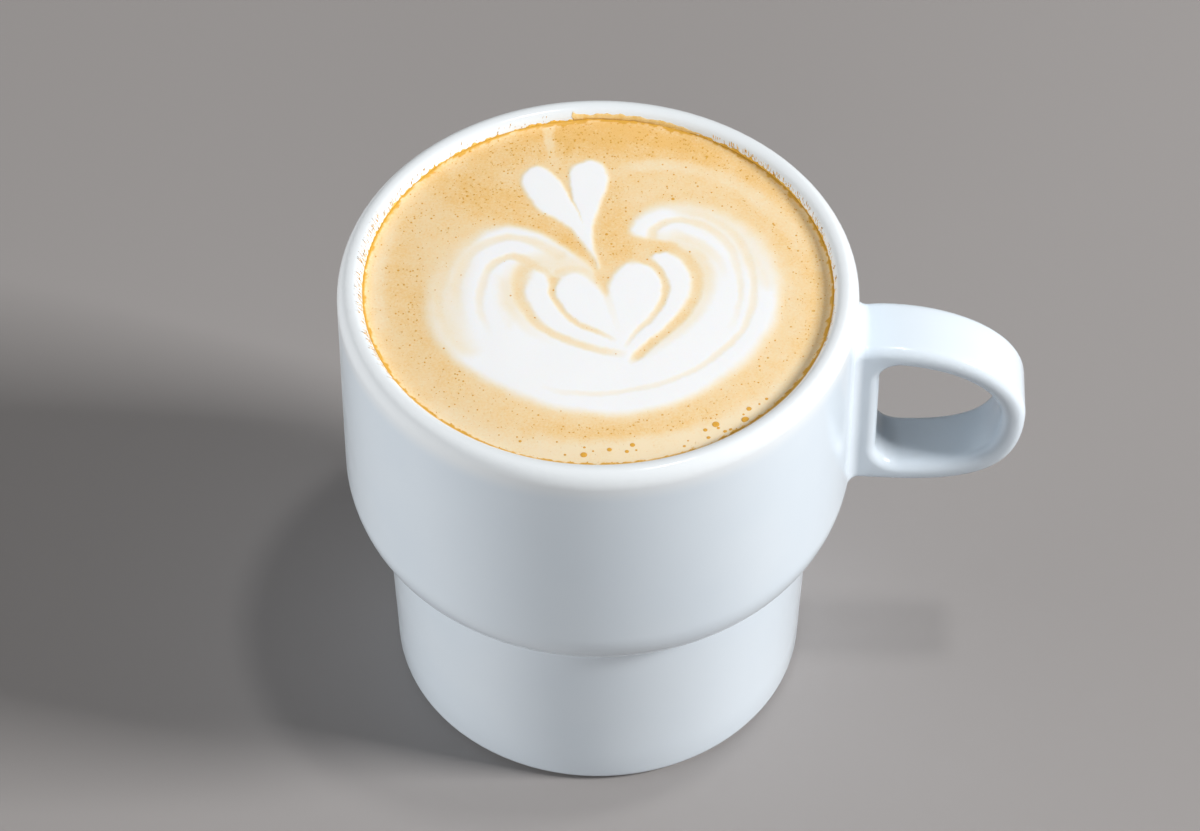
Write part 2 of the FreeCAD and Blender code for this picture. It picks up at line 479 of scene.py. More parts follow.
RIGHT_DROP = [
    (-2.2, 29.8, 1.1), (-4.2, 28.4, 1.0), (-4.9, 25.8, 0.9), (-4.6, 22.8, 0.7), (-3.9, 19.4, 0.5),
    (-3.0, 16.2, 0.5), (-2.4, 13.0, 0.8), (-1.4, 9.6, 1.0), (0.1, 5.0, 1.5), (-0.6, 9.2, 1.2),
    (-0.9, 12.4, 1.1), (-0.6, 15.8, 1.1), (0.2, 19.2, 1.1), (1.3, 22.6, 1.1), (1.7, 25.4, 1.1),
    (1.0, 28.2, 1.1), (-0.6, 29.6, 1.1),
]
LEFT_LOBE = [
    (-3.4, 3.0, 1.0), (-5.4, 2.0, 1.0), (-6.7, -0.1, 0.9), (-6.4, -2.6, 0.8), (-4.9, -5.0, 0.8),
    (-2.6, -7.1, 0.8), (0.2, -8.8, 1.0), (2.6, -10.0, 1.4), (3.8, -9.8, 1.8), (3.2, -6.0, 1.8),
    (1.9, -2.4, 1.6), (0.6, 0.2, 1.4), (-1.2, 2.4, 1.2),
]
RIGHT_LOBE = [
    (6.0, 5.7, 1.0), (3.8, 4.6, 1.0), (2.5, 2.4, 1.0), (2.4, -0.6, 1.2), (2.9, -4.0, 1.6),
    (3.6, -8.0, 1.8), (4.2, -11.4, 1.6), (5.2, -10.4, 1.0), (7.2, -7.6, 0.9), (9.3, -4.6, 0.9),
    (10.4, -1.4, 0.9), (10.3, 1.6, 0.9), (9.2, 4.2, 1.0), (7.8, 5.4, 1.0),
]
LEFT_CRESCENT = [
    (-9.7, 3.6, 0.9), (-11.0, 2.4, 1.0), (-11.7, -0.4, 1.0), (-11.2, -3.4, 1.0), (-9.7, -6.4, 1.0),
    (-7.2, -8.8, 1.2), (-3.8, -10.8, 1.2), (-0.2, -12.1, 1.2), (3.4, -12.9, 1.6), (4.4, -12.2, 1.6),
    (2.4, -11.0, 1.1), (-0.4, -9.9, 0.9), (-3.2, -8.5, 0.8), (-5.7, -6.3, 0.8), (-7.4, -3.6, 0.8),
    (-8.1, -0.8, 0.8), (-8.3, 2.0, 0.9),
]
RIGHT_CRESCENT = [
    (9.8, 8.2, 1.0), (8.8, 7.4, 1.0), (9.8, 5.6, 0.9), (11.2, 3.0, 0.8), (11.6, 0.0, 0.8),
    (11.0, -3.2, 0.8), (9.2, -6.4, 0.9), (7.0, -9.2, 1.0), (5.2, -11.8, 1.2), (5.0, -14.2, 1.4),
    (7.4, -12.4, 0.9), (10.6, -9.2, 0.9), (13.4, -5.8, 0.9), (15.0, -2.2, 0.9), (15.3, 1.6, 0.9),
    (14.2, 4.9, 1.0), (12.2, 7.2, 1.1),
]

# Places inside the big heart where crema shows through: u, v, edge width, and how much
POCKETS = [
    (0.34, [
        (-13.4, 6.0, 1.6), (-14.2, 2.4, 2.0), (-13.0, -1.6, 1.8), (-10.4, 4.4, 1.6), (-7.6, 3.8, 1.6),
        (-4.6, 4.6, 1.6), (-1.4, 3.4, 1.8), (0.4, 1.2, 1.8), (0.8, 3.4, 1.8), (-1.6, 6.0, 2.0),
        (-5.0, 7.6, 3.0), (-8.6, 8.4, 3.0), (-12.0, 7.4, 2.4),
    ]),
    (0.20, [
        (9.0, 12.8, 2.0), (13.2, 12.4, 2.6), (17.4, 9.6, 3.4), (19.2, 5.0, 3.6), (18.8, 0.0, 3.6),
        (16.8, 0.8, 2.4), (16.0, 4.6, 2.0), (14.0, 8.4, 2.0), (10.8, 10.6, 1.8),
    ]),
    (0.36, [
        (-27.2, 4.0, 3.6), (-24.6, 9.2, 3.6), (-20.4, 12.2, 3.2), (-21.4, 6.4, 4.4), (-22.6, 0.0, 4.8),
        (-22.6, -7.0, 4.6), (-20.4, -13.6, 4.4), (-24.6, -12.6, 3.6), (-27.6, -5.0, 3.6),
    ]),
    (0.26, [
        (28.0, 7.6, 3.4), (23.4, 14.2, 3.4), (17.6, 17.6, 3.4), (12.0, 18.6, 3.0), (16.8, 14.6, 4.0),
        (21.4, 10.6, 4.4), (25.0, 4.4, 4.4), (28.4, 0.6, 3.4),
    ]),
    (0.12, [
        (-16.8, 3.0, 2.4), (-16.4, -3.6, 2.4), (-14.6, -8.6, 2.4), (-13.6, -4.6, 2.0), (-14.4, 1.0, 2.0),
    ]),
]

# Thin brown lines between the layers of milk: u, v, half width, strength
LINES = [
    [(5.6, 7.4, 2.2, 0.6), (8.6, 9.7, 1.9, 0.9), (11.8, 9.4, 1.7, 0.85), (14.6, 7.1, 1.6, 0.8),
     (16.1, 3.4, 1.6, 0.74), (16.1, -0.4, 1.6, 0.78), (14.5, -4.6, 1.5, 0.84), (11.7, -8.6, 1.4, 0.88),
     (8.8, -11.8, 1.4, 0.94), (6.6, -14.2, 1.4, 0.9), (5.5, -15.8, 0.9, 0.2)],
    [(12.4, 10.2, 2.4, 0.16), (16.0, 7.4, 2.6, 0.28), (17.4, 3.2, 2.6, 0.28), (17.2, -1.2, 2.4, 0.26),
     (15.4, -5.8, 2.2, 0.26), (12.2, -9.8, 2.0, 0.25), (9.0, -13.0, 1.8, 0.15), (6.6, -15.6, 1.6, 0.0)],
    [(7.0, 7.2, 1.5, 0.9), (9.2, 5.6, 1.1, 0.8), (10.8, 3.0, 1.0, 0.76), (11.1, 0.1, 1.0, 0.78),
     (10.5, -2.9, 0.9, 0.7), (8.7, -6.1, 0.8, 0.55), (6.6, -8.9, 0.7, 0.45), (5.0, -11.2, 0.6, 0.26),
     (4.2, -13.0, 0.6, 0.0)],
    [(-11.4, 5.4, 1.4, 0.3), (-12.9, 4.0, 1.6, 0.5), (-13.2, 0.2, 1.6, 0.6), (-12.4, -3.0, 1.5, 0.66),
     (-10.5, -6.5, 1.3, 0.66), (-7.9, -9.3, 1.2, 0.62), (-4.2, -11.5, 1.2, 0.6), (-0.6, -12.9, 1.2, 0.52),
     (2.6, -13.9, 1.2, 0.34), (4.8, -14.4, 1.2, 0.0)],
    [(-13.4, 4.0, 2.8, 0.2), (-14.4, 0.0, 2.8, 0.26), (-13.4, -4.6, 2.4, 0.24), (-10.6, -9.0, 2.0, 0.12),
     (-6.0, -12.2, 1.8, 0.0)],
    [(-7.3, 2.4, 0.9, 0.6), (-7.7, 0.0, 0.9, 0.76), (-6.9, -2.8, 0.85, 0.76), (-5.2, -5.5, 0.8, 0.72),
     (-2.8, -7.8, 0.75, 0.66), (-0.2, -9.3, 0.75, 0.6), (1.6, -10.4, 0.7, 0.34), (3.0, -11.4, 0.7, 0.0)],
    [(-7.6, 2.0, 1.4, 0.5), (-6.0, 3.9, 1.4, 0.5), (-3.6, 4.4, 1.2, 0.36), (-1.2, 3.0, 1.2, 0.34),
     (0.8, 0.2, 1.2, 0.3), (2.0, -3.6, 1.0, 0.12), (3.2, -7.6, 0.9, 0.05), (4.0, -10.6, 0.8, 0.0)],
    [(-9.6, 4.6, 1.2, 0.45), (-8.4, 3.8, 1.0, 0.4), (-7.9, 2.6, 1.0, 0.5)],
    [(-10.6, 5.6, 1.4, 0.4), (-12.6, 7.0, 1.4, 0.52), (-14.8, 7.5, 1.1, 0.5), (-17.0, 6.1, 1.1, 0.42),
     (-18.6, 3.2, 1.1, 0.3), (-19.4, -0.8, 1.1, 0.26), (-19.2, -5.2, 1.0, 0.18), (-17.6, -10.4, 1.0, 0.0)],
    [(-6.4, 7.8, 1.6, 0.3), (-8.8, 9.6, 1.5, 0.36), (-12.0, 11.2, 1.2, 0.34), (-15.4, 11.8, 1.2, 0.36),
     (-19.0, 10.2, 1.3, 0.32), (-21.8, 6.8, 1.3, 0.26), (-23.2, 2.2, 1.2, 0.2), (-22.9, -3.6, 1.1, 0.1),
     (-21.4, -9.0, 1.1, 0.0)],
    [(-20.6, 12.2, 1.4, 0.0), (-23.6, 8.6, 1.4, 0.2), (-25.6, 3.2, 1.2, 0.26), (-26.2, -2.4, 1.1, 0.24),
     (-25.2, -8.4, 1.0, 0.1), (-23.0, -13.0, 1.0, 0.0)],
    [(8.8, 11.6, 1.4, 0.4), (9.4, 13.8, 1.2, 0.46), (11.8, 15.5, 1.1, 0.42), (15.2, 15.4, 1.1, 0.34),
     (18.8, 13.4, 1.1, 0.28), (21.6, 9.8, 1.1, 0.24), (23.0, 5.2, 1.0, 0.22), (23.4, 0.0, 0.9, 0.22),
     (22.6, -5.4, 0.9, 0.12), (21.0, -9.4, 0.9, 0.0)],
    [(12.6, 18.0, 1.2, 0.0), (17.6, 16.8, 1.2, 0.22), (21.8, 13.4, 1.2, 0.22), (24.4, 8.6, 1.1, 0.24),
     (25.6, 3.0, 1.0, 0.28), (25.3, -3.0, 1.0, 0.28), (23.6, -8.6, 0.9, 0.28), (20.4, -13.2, 0.9, 0.3),
     (16.2, -17.2, 0.85, 0.26), (11.0, -20.2, 0.8, 0.24), (5.4, -22.0, 0.8, 0.22),
     (-0.4, -22.8, 0.8, 0.2), (-5.4, -22.6, 0.8, 0.14), (-9.6, -21.2, 0.8, 0.0)],
    [(11.6, 13.4, 1.2, 0.0), (14.2, 12.0, 1.4, 0.22), (17.6, 9.8, 1.4, 0.22), (20.2, 6.0, 1.2, 0.14),
     (21.0, 1.6, 1.0, 0.0)],
]

# Broad paler and darker drifts in the crema, the last partly painted shade: u, v, half width, strength
DRIFTS = [
    [(3.0, 27.4, 1.4, -0.1), (7.0, 28.4, 1.9, -0.40), (13.0, 28.5, 2.1, -0.42), (19.0, 26.6, 2.3, -0.42),
     (24.6, 22.9, 2.4, -0.44), (29.0, 18.0, 2.4, -0.42), (32.6, 12.4, 2.2, -0.36), (35.0, 5.4, 2.0, 0.0)],
    [(-8.6, 38.4, 1.7, -0.6), (-8.2, 34.6, 1.4, -0.6), (-7.7, 31.2, 1.1, -0.3), (-7.2, 28.6, 1.0, 0.0)],
    [(-5.2, 38.4, 1.3, 0.4), (-4.9, 34.4, 1.2, 0.34), (-5.3, 30.4, 1.0, 0.16), (-6.0, 27.0, 0.8, 0.0)],
    [(-28.0, 25.0, 6.0, 0.2), (-19.0, 21.0, 7.0, 0.34), (-10.0, 15.0, 4.0, 0.2), (-3.4, 8.4, 2.6, 0.26)],
    [(2.6, 22.0, 3.6, 0.2), (2.6, 13.4, 3.8, 0.28), (3.8, 8.0, 3.2, 0.26)],
    [(-33.0, 12.0, 5.0, 0.1), (-31.4, 0.0, 4.2, 0.13), (-29.4, -11.0, 3.8, 0.08), (-23.0, -21.4, 3.2, 0.08)],
    [(-27.0, -27.4, 4.4, -0.3), (-12.0, -35.0, 4.6, -0.42), (3.0, -36.4, 5.4, -0.8),
     (17.0, -33.0, 5.0, -0.7), (28.0, -24.4, 3.6, -0.34), (35.0, -12.0, 2.4, -0.1)],
    [(-12.0, -29.4, 2.4, 0.12), (2.0, -31.0, 2.4, 0.2), (14.0, -28.4, 2.2, 0.14), (24.0, -21.0, 2.0, 0.05)],
    [(31.6, 6.0, 3.4, -0.1), (32.4, -4.0, 3.4, -0.2), (29.6, -14.0, 3.4, -0.2)],
    [(-12.0, 35.4, 3.0, 0.12), (2.0, 36.4, 3.4, 0.4), (12.0, 34.4, 3.2, 0.3), (20.0, 31.0, 2.4, 0.1)],
    [(-33.6, 15.0, 1.6, -0.2), (-36.2, 4.0, 1.6, -0.26), (-35.6, -8.0, 1.6, -0.2)],
    # Partly richer crema and partly painted shade: this broad band darkens the crema along the back and right
    # wall, where less light falls.
    [(-20.0, 29.0, 5.0, 0.2), (-8.0, 34.0, 6.0, 0.34), (4.0, 33.6, 6.4, 0.38), (16.0, 31.0, 6.0, 0.32),
     (27.0, 23.0, 5.4, 0.24), (33.0, 11.0, 4.6, 0.2), (34.4, -3.0, 4.2, 0.16), (30.0, -16.0, 3.6, 0.06)],
]

# The larger bubbles that gathered near the drinker's side and a few strays: u, v, radius
LARGE_BUBBLES = [
    (-2.3, -35.8, 0.56), (-5.3, -35.8, 0.22), (-2.2, -34.2, 0.22), (-0.8, -35.0, 0.18), (1.8, -34.7, 0.40),
    (4.6, -35.1, 0.34), (5.5, -33.7, 0.42), (6.1, -34.8, 0.2), (5.7, -29.5, 0.17), (13.8, -34.0, 0.26),
    (14.4, -32.8, 0.16), (17.2, -30.5, 0.36), (18.9, -29.3, 0.60), (19.3, -30.1, 0.26), (17.7, -32.2, 0.34),
    (20.4, -30.9, 0.34), (21.3, -30.5, 0.3), (23.7, -28.4, 0.66), (24.3, -26.0, 0.44), (23.4, -27.2, 0.2),
    (27.2, -23.9, 0.28), (26.0, -25.0, 0.2), (-12.5, -32.9, 0.26), (-13.0, -32.0, 0.16), (-24.0, -25.5, 0.15),
    (12.5, 20.7, 0.30), (-21.9, 21.4, 0.24), (-22.0, 22.4, 0.17), (-27.8, 16.2, 0.2), (18.3, 30.5, 0.26),
    (25.0, 25.4, 0.2), (1.4, 12.6, 0.26), (2.2, 10.4, 0.2), (-16.4, 22.9, 0.17), (-12.4, 13.9, 0.22),
    (29.3, 14.7, 0.18), (-15.9, -31.6, 0.14), (-33.0, 4.4, 0.22), (-20.9, 25.2, 0.17), (10.4, 8.9, 0.18),
]


def drift(u, v, seed, size, octaves=3):
    """Smooth noise between about -1 and 1, with blobs about size millimetres across."""
    total = np.zeros(u.shape)
    for step in range(octaves):
        scale = size / 2 ** step
        rows = (noise.noise(Vector((a / scale, b / scale, seed + 7.3 * step))) for a, b in zip(u, v))
        total += np.fromiter(rows, float, len(u)) / 2 ** step
    return total


def pour(u, v):
    """How much milk foam lies at each place of the plan, and how rich the crema is there."""
    sway_u, sway_v = drift(u, v, 3.0, 5.0), drift(u, v, 11.0, 5.0)
    feather_u, feather_v = drift(u, v, 23.0, 0.9, 2), drift(u, v, 31.0, 0.9, 2)
    u = u + 0.30 * sway_u + 0.10 * feather_u
    v = v + 0.30 * sway_v + 0.10 * feather_v
    milk = patch(BIG_HEART, u, v)
    for depth, outline in POCKETS:
        milk *= 1 - depth * patch(outline, u, v)
    for outline in (LEFT_LOBE, RIGHT_LOBE, LEFT_CRESCENT, RIGHT_CRESCENT):
        milk = np.maximum(milk, patch(outline, u, v))
    for knots in LINES:
        milk *= 1 - stroke(knots, u, v)
    milk = np.maximum(milk, np.maximum(patch(LEFT_DROP, u, v), patch(RIGHT_DROP, u, v)))
    rich = 0.46 + 0.10 * drift(u, v, 47.0, 14.0)
    for knots in DRIFTS:
        rich = rich + stroke(knots, u, v)
    edge = ease((np.hypot(u, v) - 38.2 + 0.45 * ease(-v / 34) + 0.4 * drift(u, v, 91.0, 1.3, 2)) / 0.35)
    return milk * (1 - edge), np.maximum(np.clip(rich, 0, 1), 1.7 * edge)


def turned_to_plan(x, y):
    """From the cup's metres to the pour's millimetres."""
    c, s = math.cos(POUR_TURN), math.sin(POUR_TURN)
    return (x * c + y * s) / MM, (y * c - x * s) / MM


def turned_to_cup(u, v):
    """From the pour's millimetres to the cup's metres."""
    c, s = math.cos(POUR_TURN), math.sin(POUR_TURN)
    return (u * c - v * s) * MM, (v * c + u * s) * MM


# ---------------------------------------------------------------- meshes

def new_piece(name, mesh, material, slot, *replaced):
    """Links a finished mesh with its material, puts it under the root body and hides the parts it replaces.
    """
    piece = bpy.data.objects.new(name, mesh)
    bpy.context.scene.collection.objects.link(piece)
    mesh.materials.clear()
    mesh.materials.append(material)
    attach(piece, "root")
    if replaced:
        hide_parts(*replaced)
    return piece


def disc_grid(cells, radius):
    """A square net pulled out to a disc, so that it is as fine at the wall as in the middle."""
    side = np.linspace(-1, 1, cells + 1)
    a, b = (axis.ravel() for axis in np.meshgrid(side, side))
    far = np.where(np.abs(a) >= np.abs(b), a, b)
    near = np.where(np.abs(a) >= np.abs(b), b, a)
    turn = np.pi / 4 * np.divide(near, far, out=np.zeros_like(far), where=far != 0)
    first, second = radius * far * np.cos(turn), radius * far * np.sin(turn)
    wide = np.abs(a) >= np.abs(b)
    x, y = np.where(wide, first, second), np.where(wide, second, first)
    count = cells + 1
    corner = np.arange(cells * count).reshape(cells, count)[:, :-1].ravel()
    faces = np.stack([corner, corner + 1, corner + count + 1, corner + count], 1)
    ring = np.concatenate([
        np.arange(cells),
        np.arange(cells) * count + cells,
        np.arange(cells, 0, -1) + cells * count,
        np.arange(cells, 0, -1) * count,
    ])
    return x, y, faces, ring


def foam_heights(x, y, milk, settings):
    """The surface: a little swell under the milk, gentle ripples and a climb at the wall."""
    radius = np.hypot(x, y)
    climb = np.exp(-(BREW_RADIUS - radius) / (0.9 * MM))
    ripple = drift(x / MM, y / MM, 61.0, 9.0, 2)
    return LEVEL + settings.swell * (milk - 0.6) + settings.meniscus * (climb - 0.35) + 0.035 * MM * ripple


def drink_rings(radius):
    """The drink's sides and bottom inside the cup, as radius and height, from the top down."""
    depth = LEVEL - DRINK_LOW.z
    return [
        (radius, LEVEL - 0.015 * depth),
        (radius, LEVEL - 0.44 * depth),
        (radius * 0.92, LEVEL - 0.54 * depth),
        (radius * 0.84, LEVEL - 0.62 * depth),
        (radius * 0.80, LEVEL - 0.90 * depth),
        (radius * 0.60, DRINK_LOW.z),
        (radius * 0.30, DRINK_LOW.z),
    ]


WALL_BITE = 0.06 * MM       # how far the foam reaches into the glaze, so that no slit shows


def foam_mesh(settings):
    """The drink, closed all round, with the pour stored on its vertices."""
    radius = BREW_RADIUS + WALL_BITE
    x, y, faces, ring = disc_grid(settings.cells, radius)
    milk, tone = pour(*turned_to_plan(x, y))
    points = np.stack([x, y, foam_heights(x, y, milk, settings)], 1)
    layers, skirts, top = [points], [], ring
    for ring_radius, height in drink_rings(radius):
        below = sum(len(layer) for layer in layers) + np.arange(len(ring))
        scale = ring_radius / radius
        layers.append(np.stack([x[ring] * scale, y[ring] * scale, np.full(len(ring), height)], 1))
        skirts.append(np.stack([np.roll(top, -1), top, below, np.roll(below, -1)], 1))
        top = below
    points = np.vstack(layers)
    floor = [list(map(int, top[::-1]))]
    mesh = bpy.data.meshes.new("latte_foam")
    sides = [list(map(int, row)) for row in np.vstack(skirts)]
    mesh.from_pydata(points.tolist(), [], faces.tolist() + sides + floor)
    spare = len(points) - len(milk)
    for name, values, rest in (("milk", milk, 0.0), ("tone", tone, 0.5)):
        layer = mesh.attributes.new(name, "FLOAT", "POINT")
        layer.data.foreach_set("value", np.concatenate([values, np.full(spare, rest)]).astype(np.float32))
    mesh.polygons.foreach_set("use_smooth", [True] * len(mesh.polygons))
    mesh.validate()
    return mesh


WELD = 0.002 * MM
SHARP_ANGLE = math.radians(38)


def smooth_cup_mesh():
    """The cup's own surface, welded and shaded smoothly across its faces."""
    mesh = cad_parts["cup"].data.copy()
    mesh.name = "glazed_mug"
    form = bmesh.new()
    form.from_mesh(mesh)
    bmesh.ops.remove_doubles(form, verts=form.verts, dist=WELD)
    bmesh.ops.dissolve_degenerate(form, dist=WELD / 2, edges=form.edges)
    for edge in form.edges:
        edge.smooth = edge.calc_face_angle(0.0) < SHARP_ANGLE
    for face in form.faces:
        face.smooth = True
    form.to_mesh(mesh)
    form.free()
    return mesh


# Flecks on the lip: from and to which angle, how many, least and most out from the drink's edge,
# largest size and slant
FLECK_FIELDS = [
    (146, 226, 230, 0.05, 0.4, 0.5, -1.3), (158, 214, 130, 0.5, 0.95, 0.56, -1.8),
    (226, 340, 110, 0.05, 0.3, 0.32, 0.0), (10, 62, 150, 0.05, 0.45, 0.34, 1.0),
    (-20, 10, 60, 0.05, 0.4, 0.34, 0.6), (100, 146, 36, 0.1, 0.6, 0.3, -0.8),
]


def lip_height(radius):
    """How high the lip's inner side is over the level at a radius."""
    inward = np.clip((LIP_CREST - radius) / (LIP_CREST - BREW_RADIUS), 0, 1)
    return LIP_DROP * np.sqrt(1 - inward ** 2)


def lip_radius(height):
    """The inner side of the lip at a height over the drink's level."""
    rise = np.clip(height / LIP_DROP, 0, 1)
    return LIP_CREST - (LIP_CREST - BREW_RADIUS) * np.sqrt(1 - rise ** 2)


def bump_at(turn, centre, spread):
    """1 at an angle round the cup, in degrees, and falling off on both sides."""
    off = (np.degrees(turn) - centre + 180) % 360 - 180
    return np.exp(-(off / spread) ** 2)


def edge_reach(turn):
    """How high the dried line climbs over the level, with small teeth."""
    u, v = np.cos(turn) * 40, np.sin(turn) * 40
    teeth = np.clip(drift(u, v, 83.0, 0.9, 2), -0.2, 1.0)
    reach = 0.46 + 0.08 * drift(u, v, 71.0, 7.0, 2) + 0.5 * teeth * (1 - 0.7 * bump_at(turn, 84, 14))
    reach += 0.2 * bump_at(turn, 52, 14) + 0.12 * bump_at(turn, 30, 18)
    return np.zeros_like(turn) - 0.5, np.clip(reach, 0.12, 1.2)


def band_reach(turn):
    """The pale band at the back, from where to where it lies over the level."""
    u, v = np.cos(turn) * 40, np.sin(turn) * 40
    present = ease((np.degrees(turn) - 63) / 7) * ease((98.4 - np.degrees(turn)) / 0.8)
    low = 0.36 + 0.34 * drift(u, v, 101.0, 2.2, 2) - 0.35 * bump_at(turn, 72, 5)
    high = 1.25 + 0.25 * drift(u, v, 107.0, 1.6, 3) + 0.55 * bump_at(turn, 98.2, 0.6)
    high -= 0.3 * bump_at(turn, 68, 6)
    middle = 0.5 * (low + high)
    return middle + (low - middle) * present, middle + (high - middle) * present


FILM_STEPS = 1800       # round the cup
FILM_SUNK = 0.2 * MM    # a film that is nearly gone lies this deep in the glaze
FILM_LEAST = 0.03       # least width in millimetres


def film_mesh(name, reach, thickness):
    """A thin closed ring of dried crema that follows the lip's inner side."""
    turns = np.linspace(0, 2 * np.pi, FILM_STEPS, endpoint=False)
    low, high = reach(turns)
    sunk = FILM_SUNK * (high - low < 0.08)
    steps, rows = (0.0, 0.35, 0.7, 1.0), []
    for share in steps + steps[::-1]:
        outer = len(rows) >= len(steps)
        height = (low + np.maximum(high - low, FILM_LEAST) * share) * MM
        off = thickness if outer else -thickness * (1 - 0.7 * share)
        radius = lip_radius(height) + off + sunk
        rows.append(np.stack([radius * np.cos(turns), radius * np.sin(turns), LEVEL + height], 1))
    return ring_mesh(name, rows)


FLECK_SIDES = 7
FLECK_NEAREST = 0.03 * MM
FLECK_FARTHEST = 1.7 * MM


def fleck_mesh(settings):
    """Small dried drops that cling to the lip's inner side, each a closed blob."""
    rng = np.random.default_rng(settings.seed)
    spokes = np.arange(FLECK_SIDES) * 2 * np.pi / FLECK_SIDES
    points, faces = [], []
    for first, last, count, low, high, largest, slant in FLECK_FIELDS:
        for _ in range(round(count * settings.amount)):
            turn = math.radians(rng.uniform(first, last))
            out = rng.uniform(low, high) * MM
            size = rng.uniform(0.3, 1.0) ** 1.5 * largest * MM
            wide = size * rng.uniform(0.5, 1.2)
            lean = slant + rng.uniform(-0.5, 0.5)
            reach = rng.uniform(0.7, 1.15, FLECK_SIDES)
            along = wide * reach * np.cos(spokes)
            up = size * 0.4 * reach * np.sin(spokes) + lean * along
            radius = BREW_RADIUS + np.clip(out + up, FLECK_NEAREST, FLECK_FARTHEST)
            angle = turn + along / BREW_RADIUS
            start = len(points)
            rim = [radius * np.cos(angle), radius * np.sin(angle), LEVEL + lip_height(radius)]
            points += np.stack(rim, 1).tolist()
            for lift in (-0.04 * MM, 0.05 * MM):
                middle = BREW_RADIUS + max(out, FLECK_NEAREST) - 0.7 * lift
                height = LEVEL + lip_height(middle) + 0.7 * lift
                points.append((middle * math.cos(turn), middle * math.sin(turn), height))
            under = start + FLECK_SIDES
            for spoke in range(FLECK_SIDES):
                here, onward = start + spoke, start + (spoke + 1) % FLECK_SIDES
                faces += [(here, onward, under), (onward, here, under + 1)]
    mesh = bpy.data.meshes.new("dried_flecks")
    mesh.from_pydata(points, [], faces)
    return outward(mesh)


def outward(mesh):
    """Turns every closed part's faces outwards and shades them smoothly."""
    form = bmesh.new()
    form.from_mesh(mesh)
    bmesh.ops.recalc_face_normals(form, faces=form.faces)
    for face in form.faces:
        face.smooth = True
    form.to_mesh(mesh)
    form.free()
    return mesh


def ring_mesh(name, rows):
    """A closed band from rows of points that each run once round the cup."""
    count = len(rows[0])
    spot = np.arange(count)
    onward = np.roll(spot, -1)
    faces = []
    for index in range(len(rows)):
        low, high = index * count, (index + 1) % len(rows) * count
        faces.append(np.stack([low + spot, high + spot, high + onward, low + onward], 1))
    mesh = bpy.data.meshes.new(name)
    mesh.from_pydata(np.vstack(rows).tolist(), [], np.vstack(faces).tolist())
    return outward(mesh)


# ---------------------------------------------------------------- bubbles as geometry nodes

class Recipe:
    """A geometry node tree with named inputs."""

    def __init__(self, name):
        self.tree = bpy.data.node_groups.new(name, "GeometryNodeTree")
        self.tree.interface.new_socket("Geometry", in_out="OUTPUT", socket_type="NodeSocketGeometry")
        self.tree.interface.new_socket("Geometry", in_out="INPUT", socket_type="NodeSocketGeometry")
        self.source = self.tree.nodes.new("NodeGroupInput")
        self.result = self.tree.nodes.new("NodeGroupOutput")

    def input(self, name, kind, default):
        socket = self.tree.interface.new_socket(name, in_out="INPUT", socket_type="NodeSocket" + kind)
        if default is not None:
            socket.default_value = default
        return self.source.outputs[name]

    def add(self, kind, values=(), **settings):
        """A node, with its inputs set or linked by name or place."""
        node = self.tree.nodes.new(kind)
        for key, value in settings.items():
            setattr(node, key, value)
        for key, value in dict(values).items():
            if isinstance(value, bpy.types.NodeSocket):
                self.tree.links.new(value, node.inputs[key])
            else:
                node.inputs[key].default_value = value
        return node

    def finish(self, geometry, material):
        real = self.add("GeometryNodeRealizeInstances", {"Geometry": geometry})
        painted = self.add("GeometryNodeSetMaterial", {"Geometry": real.outputs[0], "Material": material})
        self.tree.links.new(painted.outputs[0], self.result.inputs[0])
        return self.tree

    def identifier(self, name):
        for item in self.tree.interface.items_tree:
            if item.name == name and item.in_out == "INPUT":
                return item.identifier
        raise KeyError(name)


def ball(recipe, segments, rings):
    """A ball of radius 1, which is flattened and half sunk into the foam."""
    return recipe.add("GeometryNodeMeshUVSphere", {"Segments": segments, "Rings": rings, "Radius": 1.0})


FINE_FLATNESS = 0.12
RARITY = 3.6        # the higher, the fewer of the fine bubbles are large


def scattered_bubbles(material, settings):
    """Fine bubbles strewn over the crema, most where it is rich and fewest under milk."""
    recipe = Recipe("fine_bubbles")
    density = recipe.input("Density", "Float", settings.density)
    smallest = recipe.input("Smallest radius", "Float", settings.smallest)
    largest = recipe.input("Largest radius", "Float", settings.largest)
    seed = recipe.input("Seed", "Int", settings.seed)
    milk = recipe.add("GeometryNodeInputNamedAttribute", {"Name": "milk"}, data_type="FLOAT")
    bare = recipe.add("ShaderNodeMath", {0: 1.0, 1: milk.outputs[0]}, operation="SUBTRACT")
    sharp = recipe.add("ShaderNodeMath", {0: bare.outputs[0], 1: 3.0}, operation="POWER")
    tone = recipe.add("GeometryNodeInputNamedAttribute", {"Name": "tone"}, data_type="FLOAT")
    rich = recipe.add("ShaderNodeMath", {0: tone.outputs[0], 1: 2.0}, operation="POWER")
    thick = recipe.add("ShaderNodeMath", {0: rich.outputs[0], 1: density}, operation="MULTIPLY")
    amount = recipe.add("ShaderNodeMath", {0: sharp.outputs[0], 1: thick.outputs[0]}, operation="MULTIPLY")
    strewn = recipe.add(
        "GeometryNodeDistributePointsOnFaces",
        {"Mesh": recipe.source.outputs[0], "Density": amount.outputs[0], "Seed": seed},
    )
    chance = recipe.add("FunctionNodeRandomValue", {"Seed": seed}, data_type="FLOAT")
    rare = recipe.add("ShaderNodeMath", {0: chance.outputs[1], 1: RARITY}, operation="POWER")
    size = recipe.add(
        "ShaderNodeMapRange",
        {"Value": rare.outputs[0], "To Min": smallest, "To Max": largest},
    )
    placed = recipe.add(
        "GeometryNodeInstanceOnPoints",
        {
            "Points": strewn.outputs[0],
            "Instance": ball(recipe, 6, 4).outputs[0],
            "Scale": size.outputs[0],
        },
    )
    flat = recipe.add(
        "GeometryNodeScaleInstances",
        {"Instances": placed.outputs[0], "Scale": (1.0, 1.0, FINE_FLATNESS)},
    )
    return recipe, recipe.finish(flat.outputs[0], material)


